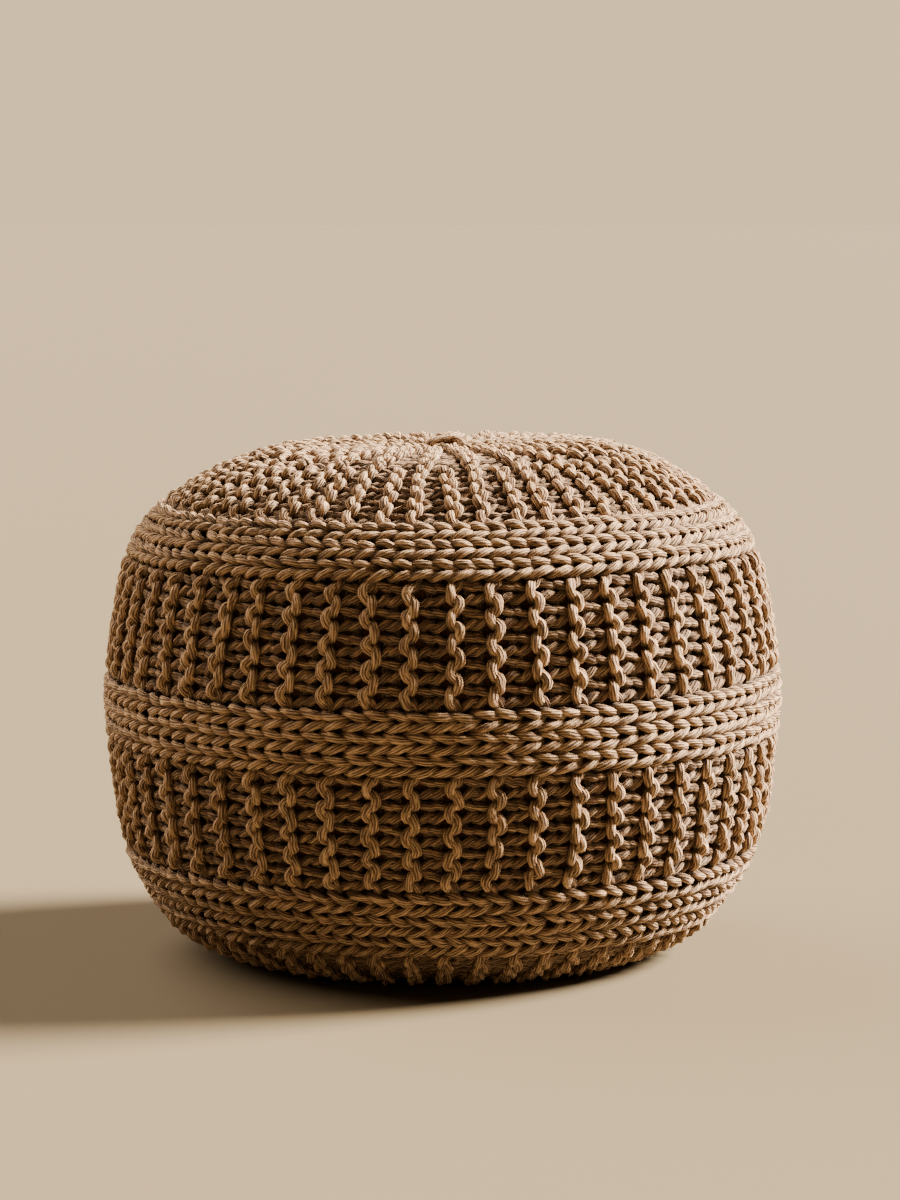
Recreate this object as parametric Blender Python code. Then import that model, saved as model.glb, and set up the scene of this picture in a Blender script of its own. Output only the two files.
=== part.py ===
"""A round knitted pouf, as the one filled solid that its stuffed cover makes.

The cover is knitted sideways in one piece of thick cord, joined into a ring and gathered at
the top and the bottom. Three plaited bands run round it, with upright ribs between them.
Units are metres, +Z is up, and the origin is on the floor under the middle of the pouf.
"""

import math
from collections import namedtuple

import bmesh
import bpy
from mathutils import Vector, geometry

RIBS = 52  # upright ribs round the widest part
RIB_ANGLE = 2 * math.pi / RIBS
FIRST_RIB = RIB_ANGLE / 2  # a furrow faces the front, between two ribs
RIB_SHARE = 0.3  # half of a rib's foot, as a share of the way to the next rib

RIB_DEPTH = 0.0070  # from a rib's crest to the floor of the furrow
RIB_SWAY = 0.0022  # how far a rib's stitches step to each side
CORD_DEPTH = 0.0040  # from the crest of a band's cord to the groove beside it

# The stuffed cover stands a little uneven.
ASKEW = 0.018  # how far the bands climb towards the right, for each metre across
CROWN_LEAN = 0.025  # how far the crown rises towards the right, for each metre across
CROWN_RADIUS = 0.200  # the crown's lean fades out here
FOOT_SHIFT = -0.004  # how far the foot stands off the middle
FOOT_SHIFT_HEIGHT = 0.100  # the foot's shift fades out here

CORD_COLOUR = (0.42, 0.27, 0.15, 1.0)
CORD_ROUGHNESS = 0.9

# Lines of points run down the pouf: one on each rib, and one on each side of its furrow.
LINES_A_RIB = 3
LINES = LINES_A_RIB * RIBS

# The side view of the crests, from the middle of the top to the middle of the foot. Each
# station opens a stretch of the surface, with its number of steps down to the next one.
# The stretch has one line of points in every_line of them.
Station = namedtuple("Station", "name radius height stretch steps every_line")
STATIONS = (
    Station("knot", 0.0000, 0.3825, "gather", 1, 6),
    Station("gather", 0.0140, 0.3790, "gather", 1, 6),
    Station("crown", 0.0400, 0.3807, "long_ribs", 4, 2),
    Station("short_rows_end", 0.1380, 0.3758, "ribs", 4, 1),
    Station("upper_band_top", 0.2064, 0.3395, "cords", 12, 3),
    Station("upper_band_foot", 0.2358, 0.3012, "ribs", 7, 1),
    Station("middle_band_top", 0.2529, 0.2113, "cords", 12, 3),
    Station("middle_band_foot", 0.2521, 0.1644, "ribs", 7, 1),
    Station("lower_band_top", 0.2385, 0.0793, "cords", 12, 3),
    Station("lower_band_foot", 0.2095, 0.0285, "ribs", 2, 1),
    Station("underside", 0.1915, 0.0125, "ribs", 2, 1),
    Station("foot", 0.1640, 0.0000, "foot", 1, 6),
    Station("foot_middle", 0.0000, 0.0000, "foot", 0, 6),
)
CORNERS = ("knot", "gather", "foot", "foot_middle")
HEIGHT = STATIONS[0].height

Row = namedtuple("Row", "radius height stretch step steps every_line")


def slope_at(index, run):
    """The side view's direction at a station: run at a corner, or level with its neighbours."""
    if STATIONS[index].name in CORNERS:
        return run.normalized()
    before, here, after = (Vector((s.radius, s.height)) for s in STATIONS[index - 1 : index + 2])
    return (after - before) / ((here - before).length + (after - here).length)


def side_curve(index):
    """The points of the smooth side view from one station to the next, both included."""
    start, end = (Vector((s.radius, s.height)) for s in STATIONS[index : index + 2])
    run = end - start
    reach = run.length / 3
    start_handle = start + slope_at(index, run) * reach
    end_handle = end - slope_at(index + 1, run) * reach
    count = STATIONS[index].steps + 1
    return geometry.interpolate_bezier(start, start_handle, end_handle, end, count)


def list_rows():
    """Every ring of points down the side, with the stretch of surface that it lies in."""
    rows = []
    above = STATIONS[0]
    for index, station in enumerate(STATIONS[:-1]):
        for step, point in enumerate(side_curve(index)[:-1]):
            every = station.every_line if step else max(station.every_line, above.every_line)
            rows.append(Row(point.x, point.y, station.stretch, step, station.steps, every))
        above = station
    last = STATIONS[-1]
    rows.append(Row(last.radius, last.height, last.stretch, 0, 0, last.every_line))
    return rows


def turn_outline(bm, rows):
    """Spins the side view round the upright axis, and marks each point with its row."""
    row_number = bm.verts.layers.int.new("row")
    points = []
    for number, row in enumerate(rows):
        point = bm.verts.new((row.radius, 0, row.height))
        point[row_number] = number
        points.append(point)
    edges = [bm.edges.new(pair) for pair in zip(points, points[1:])]
    bmesh.ops.spin(
        bm,
        geom=points + edges,
        cent=(0, 0, 0),
        axis=(0, 0, 1),
        angle=2 * math.pi,
        steps=LINES,
        use_merge=True,
    )
    bmesh.ops.remove_doubles(bm, verts=bm.verts[:], dist=1e-6)
    return row_number


def line_of(point):
    """The number of the line that a point of the turned shape is on."""
    return round(math.atan2(point.co.y, point.co.x) * LINES / (2 * math.pi)) % LINES


def line_angle(line):
    """Where a line of points goes, with the two beside a rib drawn in to the rib's foot."""
    rib, place = divmod(line, LINES_A_RIB)
    share = (0.0, RIB_SHARE, 1.0 - RIB_SHARE)[place]
    return FIRST_RIB + RIB_ANGLE * (rib + share)


def relief(row, line):
    """How far a point lies below the crests, and how far it steps aside, in metres."""
    on_rib = line % LINES_A_RIB == 0
    if row.stretch == "cords":
        return (0.0 if row.step % 2 else CORD_DEPTH), 0.0
    if row.stretch == "ribs" and row.step == 0:
        return CORD_DEPTH, 0.0
    if row.stretch == "ribs":
        return (0.0 if on_rib else RIB_DEPTH), (RIB_SWAY if row.step % 2 else -RIB_SWAY)
    if row.stretch == "long_ribs":
        on_long_rib = line % (2 * LINES_A_RIB) == 0
        grown = (row.step + 1) / (row.steps + 1)
        return (0.0 if on_long_rib else RIB_DEPTH * grown), 0.0
    return 0.0, 0.0


def settle(point, outward):
    """Sets the bands askew along the surface, leans the crown and shifts the foot."""
    radius = math.hypot(point.x, point.y)
    climb = ASKEW * point.x * point.z / HEIGHT
    inward = outward.y * climb / radius if radius else 0.0
    on_crown = point.z > HEIGHT / 2 and radius < CROWN_RADIUS
    lean = CROWN_LEAN * point.x * (1 - (radius / CROWN_RADIUS) ** 2) if on_crown else 0.0
    shift = FOOT_SHIFT * max(1 - point.z / FOOT_SHIFT_HEIGHT, 0)
    x, y = point.x * (1 - inward) + shift, point.y * (1 - inward)
    return Vector((x, y, max(point.z + outward.x * climb + lean, 0)))


def shape_surface(bm, rows, row_number):
    """Raises the ribs and the cords in the points of the turned shape."""
    places = {}
    for point in bm.verts:
        number, line = point[row_number], line_of(point)
        row = rows[number]
        above, below = rows[max(number - 1, 0)], rows[min(number + 1, len(rows) - 1)]
        outward = Vector((above.height - below.height, below.radius - above.radius))
        outward.normalize()
        depth, aside = relief(row, line)
        radius = row.radius - outward.x * depth
        height = row.height - outward.y * depth
        angle = line_angle(line) + (aside / radius if radius else 0.0)
        spot = Vector((radius * math.cos(angle), radius * math.sin(angle), height))
        point.co = settle(spot, outward)
        places[number, line] = point
    return places


def thin_out(bm, rows, places):
    """Welds the lines that a stretch doesn't need into their neighbours."""
    welded = {}
    for (number, line), point in places.items():
        extra = line % rows[number].every_line
        if extra and rows[number].radius:
            welded[point] = places[number, line - extra]
    bmesh.ops.weld_verts(bm, targetmap=welded)


def centre_on_origin(bm):
    """Puts the middle of the pouf's outline, seen from above, on the origin."""
    for axis in (0, 1):
        spots = [point.co[axis] for point in bm.verts]
        middle = (min(spots) + max(spots)) / 2
        for point in bm.verts:
            point.co[axis] -= middle


def cord_material():
    """Matt cotton cord in a warm camel brown."""
    material = bpy.data.materials.new("camel_cotton_cord")
    material.use_nodes = True
    shader = material.node_tree.nodes["Principled BSDF"]
    shader.inputs["Base Color"].default_value = CORD_COLOUR
    shader.inputs["Roughness"].default_value = CORD_ROUGHNESS
    shader.inputs["Metallic"].default_value = 0.0
    return material


def make_pouf():
    """The stuffed cover: one closed solid, flat where it rests."""
    rows = list_rows()
    bm = bmesh.new()
    row_number = turn_outline(bm, rows)
    places = shape_surface(bm, rows, row_number)
    thin_out(bm, rows, places)
    centre_on_origin(bm)
    bmesh.ops.recalc_face_normals(bm, faces=bm.faces[:])
    mesh = bpy.data.meshes.new("knitted_pouf")
    bm.to_mesh(mesh)
    bm.free()
    mesh.shade_smooth()
    mesh.set_sharp_from_angle(angle=math.radians(80))
    mesh.materials.append(cord_material())
    pouf = bpy.data.objects.new("knitted_pouf", mesh)
    bpy.context.scene.collection.objects.link(pouf)


for old in list(bpy.data.objects):
    bpy.data.objects.remove(old, do_unlink=True)

make_pouf()
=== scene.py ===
"""The looks of a round knitted pouf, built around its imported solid.

A bag of filling wears a cover knitted sideways from one thick cotton cord. The rows of the
knitting run upright, from the gathered top to the gathered foot, and are made here as they were
knitted, loop by loop. Units are metres, +Z is up, and -Y is the side towards the camera.
"""

import math
from collections import namedtuple

import bmesh
import bpy
import numpy as np
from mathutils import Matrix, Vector, geometry


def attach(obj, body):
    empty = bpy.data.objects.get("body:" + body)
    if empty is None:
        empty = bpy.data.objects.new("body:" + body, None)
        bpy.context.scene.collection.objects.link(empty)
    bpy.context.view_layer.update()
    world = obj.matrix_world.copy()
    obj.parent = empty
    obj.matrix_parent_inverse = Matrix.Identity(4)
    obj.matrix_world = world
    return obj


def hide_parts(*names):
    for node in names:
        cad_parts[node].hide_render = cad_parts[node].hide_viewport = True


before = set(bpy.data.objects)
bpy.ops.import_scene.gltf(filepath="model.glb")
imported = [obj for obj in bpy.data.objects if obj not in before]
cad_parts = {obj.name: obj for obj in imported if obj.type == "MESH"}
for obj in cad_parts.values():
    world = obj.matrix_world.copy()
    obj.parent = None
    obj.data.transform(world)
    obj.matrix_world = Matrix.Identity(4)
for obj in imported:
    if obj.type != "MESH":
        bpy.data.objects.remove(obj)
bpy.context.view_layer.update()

# ---------------------------------------------------------------------------------------------
# Camera. It stands a little above the pouf, 2.9 m in front of it, and looks slightly down,
# with a long lens.
CAMERA_PLACE = Vector((0.0, -2.9, 0.579))
CAMERA_DOWN = math.radians(6.27)
CAMERA_TURN = math.radians(-0.11)
LENS_MM = 117.0
FILM_MM = 36.0

lens = bpy.data.cameras.new("camera")
lens.sensor_fit = "AUTO"
lens.sensor_width = FILM_MM
lens.lens = LENS_MM
camera = bpy.data.objects.new("camera", lens)
camera.location = CAMERA_PLACE
camera.rotation_euler = (math.pi / 2 - CAMERA_DOWN, 0.0, CAMERA_TURN)
bpy.context.scene.collection.objects.link(camera)
bpy.context.scene.camera = camera

# ---------------------------------------------------------------------------------------------
# Filling bag. A smooth bag of tan cotton, packed tight. It shows only where the knitting is
# open, between the loops.
BAG_DEPTH = 0.0148  # from the crests of the knitting in to the bag
BAG_STEPS = 96  # round the bag
BAG_STEPS_A_STATION = 4  # down the bag, from one station of the side view to the next

# The bag's cotton. Each colour has its place on the ramp. The patches and the grain have about
# so many spots to a metre.
BAG_COLOURS = (
    (0.3, (0.075, 0.032, 0.010, 1.0)),
    (0.7, (0.13, 0.058, 0.020, 1.0)),
)
BAG_PATCH_SCALE = 30.0
BAG_GRAIN_SCALE = 900.0
BAG_GRAIN_HEIGHT = 0.0003

SEAM_GAP = 1e-6  # points of a seam that lie closer than this are joined
MIDDLE_GAP = 1e-5  # and so are the bag's points that meet in the middle

# What every finish here shares.
WARM_SHEEN = (1.0, 0.74, 0.48, 1.0)  # the bloom of cotton lint, seen edge on
SHEEN_ROUGHNESS = 0.5
DULL_SPECULAR = 0.25

# The stuffed cover stands a little uneven.
ASKEW = 0.018  # how far the bands climb towards the right, for each metre across
CROWN_LEAN = 0.025  # how far the crown rises towards the right, for each metre across
CROWN_RADIUS = 0.200  # the crown's lean fades out here
FOOT_SHIFT = -0.004  # how far the foot stands off the middle
FOOT_SHIFT_HEIGHT = 0.100  # the foot's shift fades out here

# The side view of the crests, from the middle of the top to the middle of the foot.
Station = namedtuple("Station", "name radius height")
STATIONS = (
    Station("knot", 0.0000, 0.3825),
    Station("gather", 0.0140, 0.3790),
    Station("crown", 0.0400, 0.3807),
    Station("short_rows_end", 0.1380, 0.3758),
    Station("upper_band_top", 0.2064, 0.3395),
    Station("upper_band_foot", 0.2358, 0.3012),
    Station("middle_band_top", 0.2529, 0.2113),
    Station("middle_band_foot", 0.2521, 0.1644),
    Station("lower_band_top", 0.2385, 0.0793),
    Station("lower_band_foot", 0.2095, 0.0285),
    Station("underside", 0.1915, 0.0125),
    Station("foot", 0.1640, 0.0000),
    Station("foot_short_rows_end", 0.1380, 0.0000),
    Station("foot_heart", 0.0400, 0.0000),
    Station("foot_gather", 0.0140, 0.0000),
    Station("foot_middle", 0.0000, 0.0000),
)
CORNERS = ("knot", "gather", "foot", "foot_middle")
HEIGHT = STATIONS[0].height
STEPS_A_STATION = 24
NEAR_AXIS = 0.02  # within this radius the climb draws the surface in no further


def slope_at(index, run):
    """The side view's direction at a station: run at a corner, or level with its neighbours."""
    if STATIONS[index].name in CORNERS:
        return run.normalized()
    before, here, after = (Vector((s.radius, s.height)) for s in STATIONS[index - 1 : index + 2])
    return (after - before) / ((here - before).length + (after - here).length)


def side_curve(index):
    """The points of the smooth side view from one station to the next, both included."""
    start, end = (Vector((s.radius, s.height)) for s in STATIONS[index : index + 2])
    run = end - start
    reach = run.length / 3
    start_handle = start + slope_at(index, run) * reach
    end_handle = end - slope_at(index + 1, run) * reach
    return geometry.interpolate_bezier(start, start_handle, end_handle, end, STEPS_A_STATION + 1)


# The side view as one fine line, and how far down that line every station lies.
side = [point for index in range(len(STATIONS) - 1) for point in side_curve(index)[:-1]]
side = np.array(side + [Vector((STATIONS[-1].radius, STATIONS[-1].height))])
side_step = np.diff(side, axis=0)
side_down = np.concatenate([[0.0], np.cumsum(np.hypot(side_step[:, 0], side_step[:, 1]))])
station_down = {s.name: side_down[i * STEPS_A_STATION] for i, s in enumerate(STATIONS)}

side_run = np.gradient(side, side_down, axis=0)
side_out = np.stack([-side_run[:, 1], side_run[:, 0]], axis=1)
side_out /= np.linalg.norm(side_out, axis=1, keepdims=True)


def on_side(down):
    """The radius, the height and the outward direction at a way down the side view."""
    radius = np.interp(down, side_down, side[:, 0])
    height = np.interp(down, side_down, side[:, 1])
    out_across = np.interp(down, side_down, side_out[:, 0])
    out_up = np.interp(down, side_down, side_out[:, 1])
    length = np.hypot(out_across, out_up)
    return radius, height, out_across / length, out_up / length


def place_on_pouf(down, angle, depth):
    """Points at a way down the side, at an angle round the pouf and at a depth below the crests."""
    radius, height, out_across, out_up = on_side(down)
    radius = np.maximum(radius - out_across * depth, 0.0)
    height = height - out_up * depth
    x, y = radius * np.cos(angle), radius * np.sin(angle)
    climb = ASKEW * x * height / HEIGHT
    inward = out_up * climb / np.maximum(radius, NEAR_AXIS)
    lean = CROWN_LEAN * x * np.maximum(1 - (radius / CROWN_RADIUS) ** 2, 0)
    lean = lean * (height > HEIGHT / 2)
    shift = FOOT_SHIFT * np.maximum(1 - height / FOOT_SHIFT_HEIGHT, 0)
    height = height + out_across * climb + lean
    return np.stack([x * (1 - inward) + shift, y * (1 - inward), height], axis=-1)


class Flow:
    """A value on its way from node to node. Sums with it add Math nodes."""

    def __init__(self, nodes, socket):
        self.nodes = nodes
        self.socket = socket

    def maths(self, operation, *others):
        return self.nodes.add("ShaderNodeMath", {"operation": operation}, self, *others)

    def __add__(self, other):
        return self.maths("ADD", other)

    def __mul__(self, other):
        return self.maths("MULTIPLY", other)

    def __sub__(self, other):
        return self.maths("SUBTRACT", other)

    def __rsub__(self, other):
        return self.nodes.add("ShaderNodeMath", {"operation": "SUBTRACT"}, other, self)

    __radd__ = __add__
    __rmul__ = __mul__


class Nodes:
    """The nodes of a material or of the sky."""

    def __init__(self, tree):
        self.tree = tree

    def set_socket(self, socket, value):
        """Links a value that flows in from another node, or sets a plain one."""
        if isinstance(value, Flow):
            self.tree.links.new(value.socket, socket)
        else:
            socket.default_value = value

    def set_stops(self, node, stops):
        """Gives a ramp its colours, each at its place between 0 and 1."""
        elements = node.color_ramp.elements
        while len(elements) < len(stops):
            elements.new(1.0)
        for element, (place, colour) in zip(elements, stops):
            element.position = place
            element.color = colour

    def add(self, kind, settings, *values, output=0, **named):
        """Makes a node: its settings first, then its inputs in order or by their names."""
        node = self.tree.nodes.new(kind)
        for name, value in settings.items():
            if name == "stops":
                self.set_stops(node, value)
            else:
                setattr(node, name, value)
        for socket, value in zip(node.inputs, values):
            self.set_socket(socket, value)
        for name, value in named.items():
            self.set_socket(node.inputs[name], value)
        return Flow(self, node.outputs[output])


class Finish(Nodes):
    """A material, and the nodes that are added to it."""

    def __init__(self, name, roughness, sheen):
        self.material = bpy.data.materials.new(name)
        self.material.use_nodes = True
        super().__init__(self.material.node_tree)
        self.shader = self.tree.nodes["Principled BSDF"]
        self.shader.inputs["Roughness"].default_value = roughness
        self.shader.inputs["Sheen Weight"].default_value = sheen
        self.shader.inputs["Sheen Roughness"].default_value = SHEEN_ROUGHNESS
        self.shader.inputs["Sheen Tint"].default_value = WARM_SHEEN
        self.shader.inputs["Specular IOR Level"].default_value = DULL_SPECULAR

    def noise(self, where, scale, detail=2.0, roughness=0.5):
        values = {"Vector": where, "Scale": scale, "Detail": detail, "Roughness": roughness}
        return self.add("ShaderNodeTexNoise", {}, **values)

    def place(self):
        return self.add("ShaderNodeTexCoord", {}, output="Object")

    def colour(self, value):
        self.set_socket(self.shader.inputs["Base Color"], value)

    def bump(self, height, distance):
        relief = self.add("ShaderNodeBump", {}, Height=height, Distance=distance)
        self.set_socket(self.shader.inputs["Normal"], relief)


def bag_cotton():
    """Plain cotton cloth with a fine grain."""
    cotton = Finish("bag_cotton", roughness=0.95, sheen=0.0)
    place = cotton.place()
    patches = cotton.noise(place, BAG_PATCH_SCALE)
    cotton.colour(cotton.add("ShaderNodeValToRGB", {"stops": BAG_COLOURS}, patches))
    grain = cotton.add("ShaderNodeTexVoronoi", {}, Vector=place, Scale=BAG_GRAIN_SCALE)
    cotton.bump(grain, BAG_GRAIN_HEIGHT)
    return cotton.material


def finish_piece(mesh, material):
    """Makes a mesh a piece of the cover that stands for the pouf's solid."""
    mesh.materials.clear()
    mesh.materials.append(material)
    piece = bpy.data.objects.new(mesh.name, mesh)
    bpy.context.scene.collection.objects.link(piece)
    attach(piece, "root")
    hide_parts("knitted_pouf")
    return piece


def make_bag():
    """Turns the bag's side view round the upright axis, and settles it as the pouf stands."""
    bm = bmesh.new()
    way = bm.verts.layers.float.new("way")
    downs = side_down[:: STEPS_A_STATION // BAG_STEPS_A_STATION]
    points = []
    for down in downs:
        radius, height = on_side(down)[:2]
        point = bm.verts.new((float(radius), 0.0, float(height)))
        point[way] = down
        points.append(point)
    edges = [bm.edges.new(pair) for pair in zip(points, points[1:])]
    bmesh.ops.spin(
        bm,
        geom=points + edges,
        cent=(0, 0, 0),
        axis=(0, 0, 1),
        angle=2 * math.pi,
        steps=BAG_STEPS,
        use_merge=True,
    )
    bmesh.ops.remove_doubles(bm, verts=bm.verts[:], dist=SEAM_GAP)
    for point in bm.verts:
        angle = math.atan2(point.co.y, point.co.x)
        point.co = place_on_pouf(np.float64(point[way]), angle, BAG_DEPTH)
    bmesh.ops.remove_doubles(bm, verts=bm.verts[:], dist=MIDDLE_GAP)
    bmesh.ops.recalc_face_normals(bm, faces=bm.faces[:])
    mesh = bpy.data.meshes.new("filling_bag")
    bm.to_mesh(mesh)
    bm.free()
    mesh.shade_smooth()
    return mesh


bag = finish_piece(make_bag(), bag_cotton())

# ---------------------------------------------------------------------------------------------
# Knitted cover. One soft cotton cord of three plies, knitted in 104 rows round the pouf. The
# rows lie upright. A stitch that every row knits from the front makes the plaited bands, and
# rows that take turns make the upright ribs.
ROWS = 104
ROW_ANGLE = 2 * math.pi / ROWS
FIRST_ROW = ROW_ANGLE  # a furrow faces the front, between two ribs
WIDEST_ROW = 0.0153  # from row to row round the widest part
NEAR_MIDDLE = 0.008  # within this radius a stitch reaches round the pouf by no greater angle
TURN_SHARPNESS = 2.2  # how quickly a leg passes from the front to the back
SMALL_STEP = 0.0005  # out of the surface, to find which way it faces
SEED = 5

PLIES = 3
STRANDS = 10  # in the whole cord
TWIST = -0.050  # the cord's length for one turn of its plies, below 0 for a twist like an S
STRAND_TWIST = 12.0  # turns a metre that the strands lag behind the plies
CORD_SIDES = 2 * PLIES  # a crest for each ply, and a valley between two plies
PLY_CREST = 1.07  # the cord's radius on a ply and between two plies, in cord radii
PLY_VALLEY = 0.90

# The cord's cotton. A sharpness below 1 makes the crests broad and the grooves narrow.
PLY_SHARPNESS = 0.6
STRAND_SHARPNESS = 0.8
ROD_RADIUS = 7.0  # the fibres are drawn as if the cord were a rod of spots, this thick
ROD_STRETCH = 190.0  # and this long for every metre
FIBRE_DETAIL = 3.0
FIBRE_ROUGHNESS = 0.65
SLACK_SCALE = 150.0  # about so many slack places to a metre
SLACK_GAIN = 3.6  # how much deeper the grooves get where the strands lie slack
TAUT = 0.9  # taken off every groove, so that it closes where the strands are taut
DYE_SCALE = 45.0  # about so many lighter and darker places to a metre
NOISE_MIDDLE = 0.5
# Painted shade: the cotton is darkened where it lies deep behind the knitting's middle, where the
# loops in front would shade it.
PAINTED_SHADE_FROM_TO = (-0.0066, 0.0018)  # how far behind the knitting's middle the cotton darkens

# What raises the cord's surface, and what lightens its tone. The plies, the fibres and the dye
# add to them, and the grooves and the points deep behind take away. In the tone, the plies, the
# grooves and the points deep behind are painted shade: lighter on the ply crests, darker in the
# creases and deep behind. The fibres and the dye are the cotton's own uneven tone. Each colour
# has its place on the scale of tones.
Relief = namedtuple("Relief", "ply groove fibre")
RELIEF = Relief(ply=0.60, groove=0.55, fibre=0.35)
RELIEF_HEIGHT = 0.0045
Tone = namedtuple("Tone", "ply groove fibre dye middle hidden")
TONE = Tone(ply=0.40, groove=0.55, fibre=1.45, dye=0.40, middle=0.495, hidden=0.84)
CORD_COLOURS = (
    (0.10, (0.022, 0.0078, 0.0033, 1.0)),
    (0.46, (0.190, 0.091, 0.044, 1.0)),
    (0.90, (0.72, 0.465, 0.255, 1.0)),
)

# The shape of a loop in a plaited band and in the ribs. Shares of a stitch: how far its legs
# spread towards an arc behind and towards one in front, how much they curl, how much wider
# an arc in front is, and how much steeper the upper leg is than the lower. Lengths: how far it
# reaches past the middle between its row and the next, how far its arcs and its legs stand
# out from the middle of the knitting, and how thick the cord is there.
Loop = namedtuple(
    "Loop",
    "spread_behind spread_front curl wide skew grip front_arc back_arc leg arc_radius leg_radius",
)
BAND = Loop(
    spread_behind=0.26,
    spread_front=0.26,
    curl=0.03,
    wide=0.0,
    skew=0.0,
    grip=0.0050,
    front_arc=0.0032,
    back_arc=0.0032,
    leg=0.0036,
    arc_radius=0.0022,
    leg_radius=0.0034,
)
RIBS = Loop(
    spread_behind=0.25,
    spread_front=0.14,
    curl=0.0,
    wide=0.095,
    skew=-0.12,
    grip=0.0034,
    front_arc=0.0054,
    back_arc=0.0036,
    leg=0.0012,
    arc_radius=0.0037,
    leg_radius=0.0035,
)
ARC_FLATNESS = 0.75  # below 1, an arc stays in front for longer
BAND_DEPTH = BAND.leg + BAND.leg_radius  # from the crests in to the middle of the knitting
RIBS_DEPTH = RIBS.front_arc + RIBS.arc_radius
CHANGE = 0.0035  # how far from a band's edge the knitting is all band or all ribs
CORD_SQUEEZE = 0.8  # how much of the rows' squeeze the cord itself takes up
POINT_CROWDING = 0.14  # how much closer the points of a row lie on its arcs

# How uneven the knitter's hand is.
UNEVEN_STEP = 0.004  # between two places where the unevenness is drawn
UNEVEN_DOWN = 0.0007
UNEVEN_ACROSS = 0.0006
UNEVEN_DEPTH = 0.0004
SWAY = 0.0013  # how far a whole rib strays to a side
SWAY_STEP = 0.040

# Where rows stop, their ends dive in between the rows that go on, and those spread out to
# fill the room. Rows lie so many row angles apart above such a station, and below it.
DIVE_REACH = 0.012
DIVE_DEPTH = 0.009
Thinning = namedtuple("Thinning", "station above below")
THINNINGS = (
    Thinning("crown", 4, 2),
    Thinning("short_rows_end", 2, 1),
    Thinning("foot_short_rows_end", 1, 2),
    Thinning("foot_heart", 2, 4),
)
SPREAD_ABOVE = 0.009  # the rows take this much of their way to spread out
SPREAD_BELOW = 0.007

# Each zone of the cover, from a station down to the next, with its stitches in a row, how
# many of the rows it has (every one, every second pair or every fourth pair), and how many
# points shape each stitch.
Zone = namedtuple("Zone", "name top foot stitches share points")
ZONES = (
    Zone("cap_heart", "gather", "crown", 2, 4, 22),
    Zone("cap_middle", "crown", "short_rows_end", 6, 2, 22),
    Zone("cap_rim", "short_rows_end", "upper_band_top", 5, 1, 22),
    Zone("upper_band", "upper_band_top", "upper_band_foot", 3, 1, 22),
    Zone("upper_ribs", "upper_band_foot", "middle_band_top", 5, 1, 22),
    Zone("middle_band", "middle_band_top", "middle_band_foot", 3, 1, 22),
    Zone("lower_ribs", "middle_band_foot", "lower_band_top", 5, 1, 22),
    Zone("lower_band", "lower_band_top", "lower_band_foot", 3, 1, 22),
    Zone("foot_rim", "lower_band_foot", "foot_short_rows_end", 5, 1, 14),
    Zone("foot_middle", "foot_short_rows_end", "foot_heart", 6, 2, 14),
    Zone("foot_heart", "foot_heart", "foot_gather", 2, 4, 14),
)
EVERY_ROW_STOPS = ROWS  # stands for the share past the gathered top and foot

random_values = np.random.default_rng(SEED)


def uneven(size, step, count, repeat=1):
    """A gentle unevenness down every row: the places it is drawn at, and its size there."""
    places = np.arange(0, side_down[-1] + step, step)
    draws = random_values.normal(0, size, (count, len(places)))
    return places, np.repeat(draws, repeat, axis=0)


strays = {
    "down": uneven(UNEVEN_DOWN, UNEVEN_STEP, ROWS),
    "across": uneven(UNEVEN_ACROSS, UNEVEN_STEP, ROWS),
    "depth": uneven(UNEVEN_DEPTH, UNEVEN_STEP, ROWS),
    "sway": uneven(SWAY, SWAY_STEP, ROWS // 2, 2),
}


def stray(kind, rows, downs):
    """How far the points of some rows stray, at their ways down."""
    places, draws = strays[kind]
    return np.array([np.interp(down, places, draws[row]) for row, down in zip(rows.ravel(), downs)])


def ribbed_at(down):
    """1 in the ribs, 0 in the plaited bands, and between them in a short change."""
    edges, values = [], []
    for band in ("upper_band", "middle_band", "lower_band"):
        top, foot = station_down[band + "_top"], station_down[band + "_foot"]
        edges += [top - CHANGE, top + CHANGE, foot - CHANGE, foot + CHANGE]
        values += [1, 0, 0, 1]
    return np.interp(down, edges, values)


def rows_apart(down):
    """How many row angles the rows that are left lie apart."""
    edges, values = [], []
    for thinning in THINNINGS:
        middle = station_down[thinning.station]
        edges += [middle - SPREAD_ABOVE, middle + SPREAD_BELOW]
        values += [thinning.above, thinning.below]
    return np.interp(down, edges, values)


def mix(share, first, second):
    """The first value where the share is 0, the second where it is 1, and between them else."""
    return first + (second - first) * share


def outward_at(down, angle, depth):
    """The outward direction of the pouf's surface at each of these points."""
    way = place_on_pouf(down, angle, depth - SMALL_STEP) - place_on_pouf(down, angle, depth)
    return way / np.linalg.norm(way, axis=-1, keepdims=True)


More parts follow.
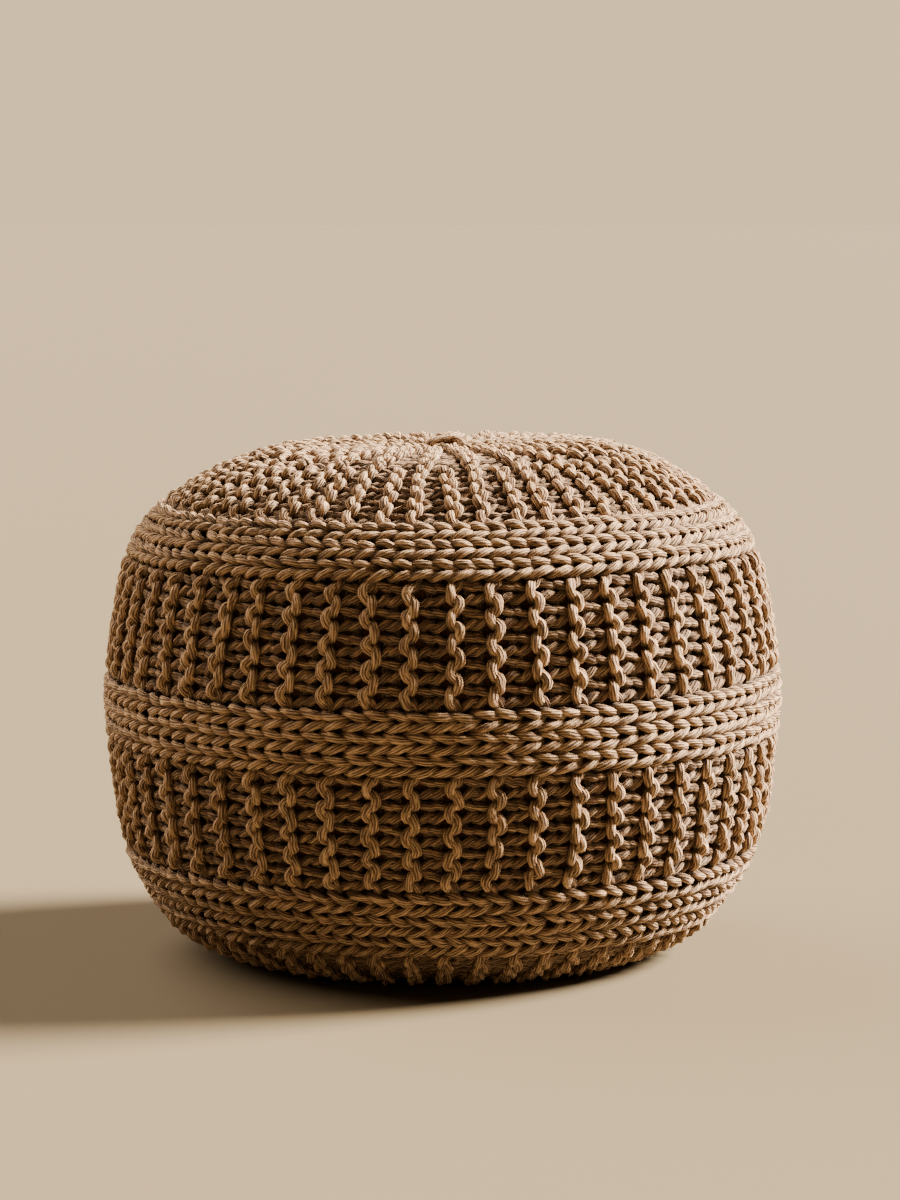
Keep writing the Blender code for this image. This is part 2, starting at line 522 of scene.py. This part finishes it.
def cord_cotton():
    """Three plies of soft cotton twisted into a cord, each ply made of finer strands."""
    cotton = Finish("camel_cotton", roughness=0.85, sheen=0.35)
    split = cotton.add("ShaderNodeUVMap", {"uv_map": "along_cord"})
    along = cotton.add("ShaderNodeSeparateXYZ", {}, split, output="X")
    around = Flow(cotton, along.socket.node.outputs["Y"])
    crests = (around * (PLIES * math.pi)).maths("COSINE").maths("ABSOLUTE")
    ply = crests.maths("POWER", PLY_SHARPNESS)
    turned = (around + along * STRAND_TWIST) * (STRANDS * math.pi)
    strand = turned.maths("SINE").maths("ABSOLUTE").maths("POWER", STRAND_SHARPNESS)
    slack = cotton.noise(cotton.place(), SLACK_SCALE)
    groove = (1 - strand) * (slack * SLACK_GAIN - TAUT)

    # The fibres lie along the strands, so they are drawn on the cord laid out as a straight rod.
    angle = (around + along * STRAND_TWIST) * (2 * math.pi)
    rod_x = angle.maths("SINE") * ROD_RADIUS
    rod_y = angle.maths("COSINE") * ROD_RADIUS
    rod = cotton.add("ShaderNodeCombineXYZ", {}, rod_x, rod_y, along * ROD_STRETCH)
    fibre = cotton.noise(rod, 1.0, FIBRE_DETAIL, FIBRE_ROUGHNESS)

    dye = cotton.noise(cotton.place(), DYE_SCALE)
    # Painted shade on the points that lie deep behind the knitting's middle, read from their behind
    # attribute.
    behind = cotton.add("ShaderNodeAttribute", {"attribute_name": "behind"}, output="Fac")
    smooth = {"interpolation_type": "SMOOTHSTEP"}
    hidden = cotton.add("ShaderNodeMapRange", smooth, behind, *PAINTED_SHADE_FROM_TO)
    # The tone paints shade: lighter on the ply crests, darker in the valleys between the plies and
    # in the grooves between the strands. The fibres and the dye are the cotton's own uneven tone.
    tone = (
        ply * TONE.ply
        - groove * TONE.groove
        + (fibre - NOISE_MIDDLE) * TONE.fibre
        + (dye - NOISE_MIDDLE) * TONE.dye
        + TONE.middle
        - hidden * TONE.hidden
    )
    cotton.colour(cotton.add("ShaderNodeValToRGB", {"stops": CORD_COLOURS}, tone))
    height = ply * RELIEF.ply - groove * RELIEF.groove + fibre * RELIEF.fibre
    cotton.bump(height, RELIEF_HEIGHT)
    return cotton.material


def cord_section():
    """The cord cut across: a crest for each ply, and a valley between two plies."""
    outline = bpy.data.curves.new("cord_section", "CURVE")
    outline.dimensions = "2D"
    ring = outline.splines.new("POLY")
    ring.points.add(CORD_SIDES - 1)
    ring.use_cyclic_u = True
    for number, point in enumerate(ring.points):
        angle = 2 * math.pi * number / CORD_SIDES
        radius = PLY_VALLEY if number % 2 else PLY_CREST
        point.co = (radius * math.cos(angle), radius * math.sin(angle), 0.0, 1.0)
    section = bpy.data.objects.new("cord_section", outline)
    bpy.context.scene.collection.objects.link(section)
    return section


def note_depth(mesh, spots, outward, behind):
    """Writes on every point of the cords how far it lies behind the middle of the knitting."""
    lines, points = behind.shape
    places = np.empty(len(mesh.vertices) * 3, np.float32)
    mesh.vertices.foreach_get("co", places)
    caps = 2 * lines * CORD_SIDES  # the points of the cords' two ends come first
    rings = places.reshape(-1, 3)[caps:].reshape(lines, points, CORD_SIDES, 3)
    lift = ((rings - spots[:, :, None]) * outward[:, :, None]).sum(axis=3)
    depths = np.concatenate([np.zeros(caps), (behind[:, :, None] - lift).ravel()])
    # This depth sets the painted shade in the cord's cotton.
    layer = mesh.attributes.new("behind", "FLOAT", "POINT")
    layer.data.foreach_set("value", depths.astype(np.float32))


def lay_cords(name, spots, radii, outward, behind, material):
    """Bends a twisted cord along each line of points, and joins the cords as one piece."""
    section = cord_section()
    path = bpy.data.curves.new(name, "CURVE")
    path.dimensions = "3D"
    path.bevel_mode = "OBJECT"
    path.bevel_object = section
    path.use_fill_caps = True
    steps = np.linalg.norm(np.diff(spots, axis=1), axis=2)
    lengths = np.concatenate([np.zeros((len(spots), 1)), np.cumsum(steps, axis=1)], axis=1)
    for line, thickness, along in zip(spots, radii, lengths):
        spline = path.splines.new("POLY")
        spline.points.add(len(line) - 1)
        spline.points.foreach_set("co", np.column_stack([line, np.ones(len(line))]).ravel())
        spline.points.foreach_set("radius", thickness)
        start = random_values.uniform(0, 2 * math.pi)
        spline.points.foreach_set("tilt", start + along * (2 * math.pi / TWIST))
        spline.use_smooth = True
    cords = bpy.data.objects.new(name, path)
    bpy.context.scene.collection.objects.link(cords)
    graph = bpy.context.evaluated_depsgraph_get()
    mesh = bpy.data.meshes.new_from_object(cords.evaluated_get(graph))
    bpy.data.objects.remove(cords)
    bpy.data.objects.remove(section)
    mesh.name = name
    mesh.uv_layers[0].name = "along_cord"
    spread = np.empty(len(mesh.loops) * 2, np.float32)
    mesh.uv_layers[0].data.foreach_get("uv", spread)
    spread[0::2] *= lengths[:, -1].mean()
    mesh.uv_layers[0].data.foreach_set("uv", spread)
    note_depth(mesh, spots, outward, behind)
    bm = bmesh.new()
    bm.from_mesh(mesh)
    bmesh.ops.remove_doubles(bm, verts=bm.verts[:], dist=SEAM_GAP)
    bmesh.ops.recalc_face_normals(bm, faces=bm.faces[:])
    bm.to_mesh(mesh)
    bm.free()
    return finish_piece(mesh, material)


def dive(zone, rows, downs):
    """How deep the ends of the rows that stop at the zone's top or foot dive in."""
    number = ZONES.index(zone)
    above = ZONES[number - 1].share if number else EVERY_ROW_STOPS
    below = ZONES[number + 1].share if number + 1 < len(ZONES) else EVERY_ROW_STOPS
    pair = rows // 2
    stops_above = (pair % above != 0) | (above == EVERY_ROW_STOPS)
    stops_below = (pair % below != 0) | (below == EVERY_ROW_STOPS)
    near_top = np.clip(1 - (downs - station_down[zone.top]) / DIVE_REACH, 0, 1)
    near_foot = np.clip(1 - (station_down[zone.foot] - downs) / DIVE_REACH, 0, 1)
    return DIVE_DEPTH * (stops_above * near_top ** 2 + stops_below * near_foot ** 2)


def knit(zone, material):
    """Knits the rows of one zone, each a line of loops from the zone's top to its foot."""
    top, foot = station_down[zone.top], station_down[zone.foot]
    pitch = (foot - top) / zone.stitches
    turn = np.linspace(-math.pi, (2 * zone.stitches - 1) * math.pi, zone.stitches * zone.points + 1)
    turn = turn - POINT_CROWDING * np.sin(2 * turn)
    rows = np.array([row for row in range(ROWS) if row // 2 % zone.share == 0])[:, None]
    along = top + pitch * (turn + math.pi) / (2 * math.pi)
    ribbed = ribbed_at(along)

    # Which side of the knitting a loop's feet and its head lie on: 1 behind and -1 in front.
    feet_side = 1 - 2 * (rows % 2) * ribbed
    head_side = 1 - 2 * ((rows + 1) % 2) * ribbed

    # Halfway up a leg, the cord passes from the side of the feet to the side of the head.
    lean = np.sin(np.clip(np.cos(turn) * TURN_SHARPNESS, -1, 1) * math.pi / 2)
    this_side = (feet_side + head_side) / 2 + (head_side - feet_side) / 2 * lean

    # Down: the legs spread towards the head, and an arc in front is the wider one.
    behind = mix(ribbed, BAND.spread_behind, RIBS.spread_behind)
    in_front = mix(ribbed, BAND.spread_front, RIBS.spread_front)
    skew = 1 - mix(ribbed, BAND.skew, RIBS.skew) * np.sin(turn)
    spread = mix((1 + this_side) / 2, in_front, behind) * np.sin(2 * turn) * skew
    curl = mix(ribbed, BAND.curl, RIBS.curl) * np.sin(4 * turn)
    wide = mix(ribbed, BAND.wide, RIBS.wide) * np.sin(turn) * (feet_side - head_side) / 2
    downs = along + pitch * (spread + curl + wide)
    downs += stray("down", rows, downs)
    apart = rows_apart(downs)
    radius = on_side(downs)[0]

    # Across: a loop's head reaches into the next row, and its feet into the row before.
    rib_middle = rows // 2 * 2 + 0.5
    row_place = rib_middle + (rows - rib_middle) * apart
    row_width = ROW_ANGLE * apart * radius
    squeeze = np.minimum(np.sqrt(row_width / WIDEST_ROW), 1.0)
    grip = mix(ribbed, BAND.grip, RIBS.grip) * squeeze
    reach = (row_width / 2 + grip) * np.cos(turn)
    across = reach + stray("across", rows, downs) + stray("sway", rows, downs)
    angles = FIRST_ROW - ROW_ANGLE * row_place - across / np.maximum(radius, NEAR_MIDDLE)

    # Depth: the arcs stand out on their side, and the legs pass from one side to the other.
    arc = np.maximum(np.cos(2 * turn), 0) ** ARC_FLATNESS
    leg = np.maximum(-np.cos(2 * turn), 0)
    front_arc = mix(ribbed, BAND.front_arc, RIBS.front_arc)
    back_arc = mix(ribbed, BAND.back_arc, RIBS.back_arc)
    arc_out = np.where(this_side < 0, front_arc, back_arc)
    out = this_side * (leg * mix(ribbed, BAND.leg, RIBS.leg) - arc * arc_out)
    depths = mix(ribbed, BAND_DEPTH, RIBS_DEPTH) - out + stray("depth", rows, downs)
    depths += dive(zone, rows, downs)
    leg_radius = mix(ribbed, BAND.leg_radius, RIBS.leg_radius)
    arc_radius = mix(ribbed, BAND.arc_radius, RIBS.arc_radius)
    radii = mix(arc, leg_radius, arc_radius) * squeeze ** CORD_SQUEEZE
    spots = place_on_pouf(downs, angles, depths)
    outward = outward_at(downs, angles, depths)
    spots[..., 2] = np.maximum(spots[..., 2], radii * PLY_CREST)
    return lay_cords(zone.name, spots, radii, outward, -out, material)


camel_cotton = cord_cotton()
for zone in ZONES:
    knit(zone, camel_cotton)

# ---------------------------------------------------------------------------------------------
# Drawn ends. At the top and at the foot the same cord runs once through the ends of the rows,
# is drawn tight and wound in to the middle. At the top it is tied off in one small knot.
DRAWN_RADIUS = 0.0028
DRAWN_TURNS = 2.6
DRAWN_OUTSIDE = 0.0145  # from the middle to the start of the winding
DRAWN_INSIDE = 0.0010
DRAWN_WAVES = 13  # the winding passes over one row's end and under the next
DRAWN_WAVE = 0.0012
DRAWN_DEPTH = {"top": 0.0040, "foot": 0.0045}
DRAWN_POINTS = 110
# The depth that sets the painted shade on the drawn cord and the knot.
DRAWN_BEHIND = -0.0055  # it stands this far in front of the knitting's middle

KNOT_PLACE = Vector((0.004, 0.001, 0.3813))
KNOT_UNIT = 0.0024  # the knot's loops reach three of these from its middle
KNOT_HEIGHT = 0.0017  # how far its cord passes over and under itself
KNOT_OPENING = 0.15  # radians left open where the two ends leave the knot
KNOT_POINTS = 64
# The two ends of the knot's cord, from the knot outwards: across, along and up, in knot units.
LEFT_END = ((-2.0, -3.3, 0.2), (-4.0, -3.9, -0.3), (-5.6, -4.2, -1.1), (-6.6, -4.3, -2.6))
RIGHT_END = ((2.0, -3.2, 0.3), (3.6, -4.3, -0.2), (4.4, -5.7, -1.0), (4.7, -6.9, -2.4))


def wind_in(where, material):
    """The cord drawn through the ends of the rows, wound in to the middle."""
    share = np.linspace(0, 1, DRAWN_POINTS)
    angle = 2 * math.pi * DRAWN_TURNS * share
    out = DRAWN_OUTSIDE + (DRAWN_INSIDE - DRAWN_OUTSIDE) * share
    downs = out if where == "top" else side_down[-1] - out
    depths = DRAWN_DEPTH[where] + DRAWN_WAVE * (1 - share) * np.sin(DRAWN_WAVES * angle)
    spots = place_on_pouf(downs, angle, depths)
    spots[:, 2] = np.maximum(spots[:, 2], DRAWN_RADIUS * PLY_CREST)
    radii = np.full((1, DRAWN_POINTS), DRAWN_RADIUS)
    outward = outward_at(downs, angle, depths)
    behind = np.full((1, DRAWN_POINTS), DRAWN_BEHIND)
    return lay_cords("drawn_cord_" + where, spots[None], radii, outward[None], behind, material)


def tie_knot(material):
    """A plain overhand knot, drawn tight, with its two ends tucked down beside it."""
    turn = np.linspace(math.pi + KNOT_OPENING, 3 * math.pi - KNOT_OPENING, KNOT_POINTS)
    across = np.sin(turn) + 2 * np.sin(2 * turn)
    along = np.cos(turn) - 2 * np.cos(2 * turn)
    up = -np.sin(3 * turn) * KNOT_HEIGHT / KNOT_UNIT
    loops = np.stack([across, along, up], axis=1)
    spots = np.concatenate([np.array(LEFT_END[::-1]), loops, np.array(RIGHT_END)]) * KNOT_UNIT
    spots += np.array(KNOT_PLACE)
    radii = np.full((1, len(spots)), DRAWN_RADIUS)
    outward = np.full((1, len(spots), 3), (0.0, 0.0, 1.0))
    behind = np.full((1, len(spots)), DRAWN_BEHIND)
    return lay_cords("top_knot", spots[None], radii, outward, behind, material)


for where in DRAWN_DEPTH:
    wind_in(where, camel_cotton)
tie_knot(camel_cotton)

# ---------------------------------------------------------------------------------------------
# Studio. A plain floor that runs on to the horizon, a low sun from the right, and a weak, very
# soft light from the left and behind. The sky is bright low down and dark above.
FLOOR_COLOUR = (0.1155, 0.0883, 0.0494, 1.0)
FLOOR_SIZE = 80.0

# Lights from far away. Turn is round from the front, and up is above the floor, in degrees.
Sun = namedtuple("Sun", "name turn up strength softness colour")
SUNS = (
    Sun("key", turn=105.0, up=33.0, strength=42.5, softness=20.0, colour=(1.0, 0.89, 0.76)),
    Sun("fill", turn=-125.0, up=40.0, strength=6.3, softness=60.0, colour=(1.0, 0.84, 0.68)),
)

# The sky's colours, each with its place between the horizon, 0, and straight up, 1.
SKY_COLOURS = (
    (0.07, (1.175, 0.845, 0.488, 1.0)),
    (0.20, (0.050, 0.038, 0.026, 1.0)),
)

floor_mesh = bpy.data.meshes.new("floor")
bm = bmesh.new()
bmesh.ops.create_grid(bm, x_segments=1, y_segments=1, size=FLOOR_SIZE / 2)
bm.to_mesh(floor_mesh)
bm.free()
floor = bpy.data.objects.new("floor", floor_mesh)
bpy.context.scene.collection.objects.link(floor)
paint = Finish("floor_paint", roughness=0.8, sheen=0.0)
paint.colour(FLOOR_COLOUR)
floor_mesh.materials.append(paint.material)

for sun in SUNS:
    lamp = bpy.data.lights.new(sun.name, "SUN")
    lamp.energy = sun.strength
    lamp.angle = math.radians(sun.softness)
    lamp.color = sun.colour
    light = bpy.data.objects.new(sun.name, lamp)
    light.rotation_euler = (math.radians(90 - sun.up), 0.0, math.radians(sun.turn))
    bpy.context.scene.collection.objects.link(light)

world = bpy.data.worlds.new("studio")
bpy.context.scene.world = world
world.use_nodes = True
sky = Nodes(world.node_tree)
direction = sky.add("ShaderNodeTexCoord", {}, output="Generated")
up = sky.add("ShaderNodeSeparateXYZ", {}, direction, output="Z")
sky_colour = sky.add("ShaderNodeValToRGB", {"stops": SKY_COLOURS}, up)
sky.set_socket(world.node_tree.nodes["Background"].inputs["Color"], sky_colour)
